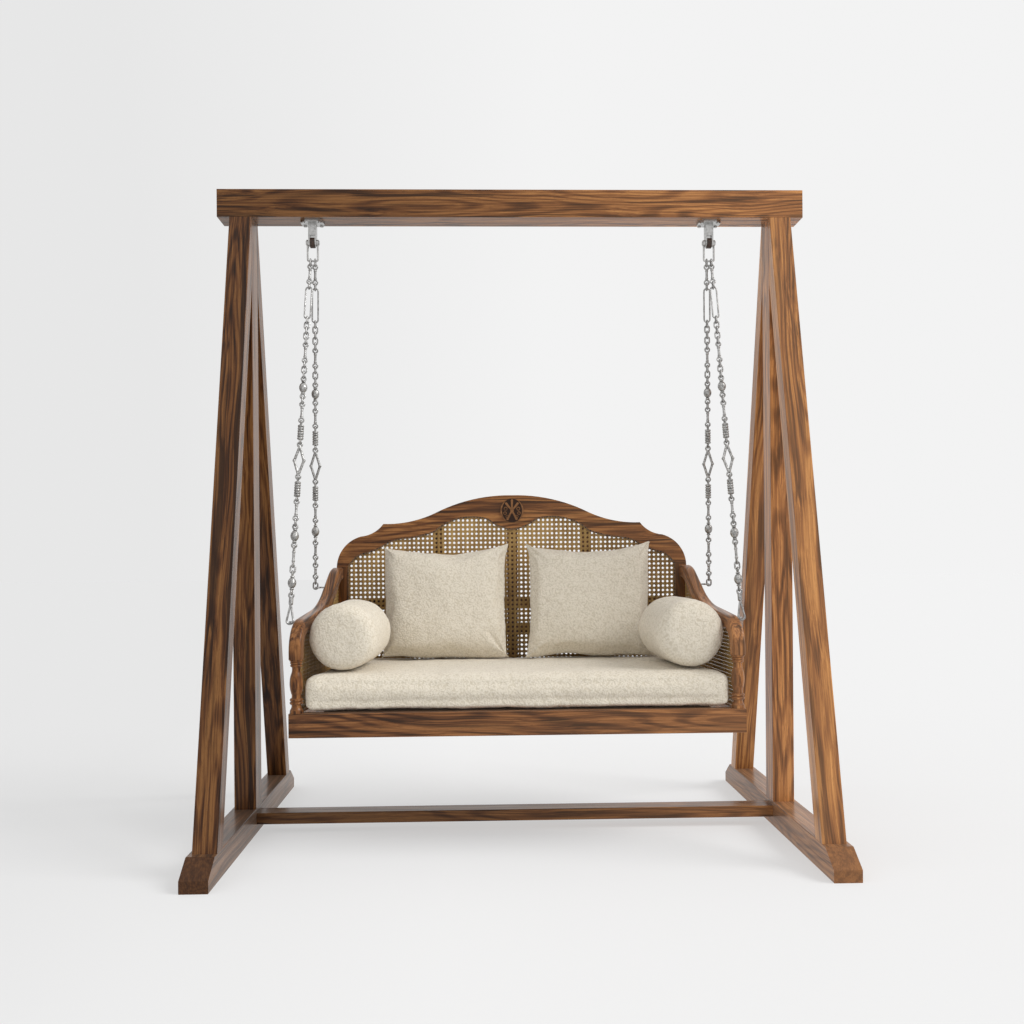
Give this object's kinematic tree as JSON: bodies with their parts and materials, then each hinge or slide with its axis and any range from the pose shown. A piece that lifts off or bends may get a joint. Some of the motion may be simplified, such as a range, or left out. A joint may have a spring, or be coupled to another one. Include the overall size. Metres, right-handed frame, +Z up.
{
  "type": "jhoola swing",
  "caption": "Free-standing timber A-frame swing: a caned two-seat bench with scroll arms hangs from the top beam on ornamental metal chains, with a seat cushion, square pillows and bolsters.",
  "frame": {"origin": "on the floor, midway between the four leg feet, under the middle of the top beam", "axes": "+X to the right of someone who faces the seat, +Y towards the back of the seat, +Z up"},
  "size_m": [1.91, 1.24, 2.09],
  "materials": {
    "frame_wood": "satin oiled",
    "bench_wood": "satin oiled",
    "cane": "natural woven cane",
    "bracket_metal": "satin zinc",
    "chain_metal": "antique silver",
    "bush_plastic": "matte",
    "upholstery": "cream boucle"
  },
  "bodies": {
    "frame": {"top_beam": "frame_wood", "right_post": "frame_wood", "left_post": "frame_wood", "right_front_leg": "frame_wood", "left_front_leg": "frame_wood", "right_rear_leg": "frame_wood", "left_rear_leg": "frame_wood", "right_foot_sill": "frame_wood", "left_foot_sill": "frame_wood", "stretcher": "frame_wood", "right_hanger_bracket": "bracket_metal", "left_hanger_bracket": "bracket_metal", "right_hanger_bush": "bush_plastic", "left_hanger_bush": "bush_plastic", "hanger_screws": "bracket_metal"},
    "hangers": {"right_hanger_pin": "bracket_metal", "left_hanger_pin": "bracket_metal", "right_shackle": "chain_metal", "left_shackle": "chain_metal"},
    "chain_front_left": {"left_front_chain_rings": "chain_metal", "left_front_chain_rods": "chain_metal", "left_front_chain_ornaments": "chain_metal", "left_front_hook": "chain_metal"},
    "chain_front_right": {"right_front_chain_rings": "chain_metal", "right_front_chain_rods": "chain_metal", "right_front_chain_ornaments": "chain_metal", "right_front_hook": "chain_metal"},
    "chain_rear_left": {"left_rear_chain_rings": "chain_metal", "left_rear_chain_rods": "chain_metal", "left_rear_chain_ornaments": "chain_metal"},
    "chain_rear_right": {"right_rear_chain_rings": "chain_metal", "right_rear_chain_rods": "chain_metal", "right_rear_chain_ornaments": "chain_metal"},
    "bench": {"front_rail": "bench_wood", "rear_rail": "bench_wood", "right_side_rail": "bench_wood", "left_side_rail": "bench_wood", "seat_bearers": "bench_wood", "seat_slats": "bench_wood", "crest_rail": "bench_wood", "right_stile": "bench_wood", "left_stile": "bench_wood", "back_lower_rail": "bench_wood", "back_muntins": "bench_wood", "back_cross_rails": "bench_wood", "back_cane": "cane", "cane_spline": "cane", "crest_rosette": "bench_wood", "right_arm_post": "bench_wood", "left_arm_post": "bench_wood", "right_armrest": "bench_wood", "left_armrest": "bench_wood", "right_side_cane": "cane", "left_side_cane": "cane", "eye_bolts": "chain_metal", "seat_cushion": "upholstery", "left_pillow": "upholstery", "right_pillow": "upholstery", "right_bolster": "upholstery", "left_bolster": "upholstery"}
  },
  "joints": [
    {"name": "swing", "type": "hinge", "parent": "frame", "child": "hangers", "pos_m": [0, 0, 1.93], "axis": [1, 0, 0], "range_deg": [-20, 20]},
    {"name": "sway", "type": "hinge", "parent": "hangers", "child": "chain_front_left", "pos_m": [-0.6626, 0, 1.87], "axis": [0, 1, 0], "range_deg": [-3.5, 3.5]},
    {"name": "sway_front_right", "type": "hinge", "parent": "hangers", "child": "chain_front_right", "pos_m": [0.6626, 0, 1.87], "axis": [0, 1, 0], "range_deg": [-4, 4]},
    {"name": "sway_rear_left", "type": "hinge", "parent": "hangers", "child": "chain_rear_left", "pos_m": [-0.6474, 0, 1.87], "axis": [0, 1, 0], "range_deg": [-4.3, 4.3]},
    {"name": "sway_rear_right", "type": "hinge", "parent": "hangers", "child": "chain_rear_right", "pos_m": [0.6474, 0, 1.87], "axis": [0, 1, 0], "range_deg": [-4.3, 4.3]},
    {"name": "bench_level", "type": "hinge", "parent": "chain_front_left", "child": "bench", "pos_m": [-0.6945, -0.24, 0.7], "axis": [0, 1, 0], "range_deg": [-4, 4]}
  ],
  "couplings": [
    {"joint": "sway_front_right", "follows": "sway", "ratio": 1},
    {"joint": "sway_rear_left", "follows": "sway", "ratio": 1.0814},
    {"joint": "sway_rear_right", "follows": "sway", "ratio": 1.0814},
    {"joint": "bench_level", "follows": "sway", "ratio": -0.9541}
  ]
}
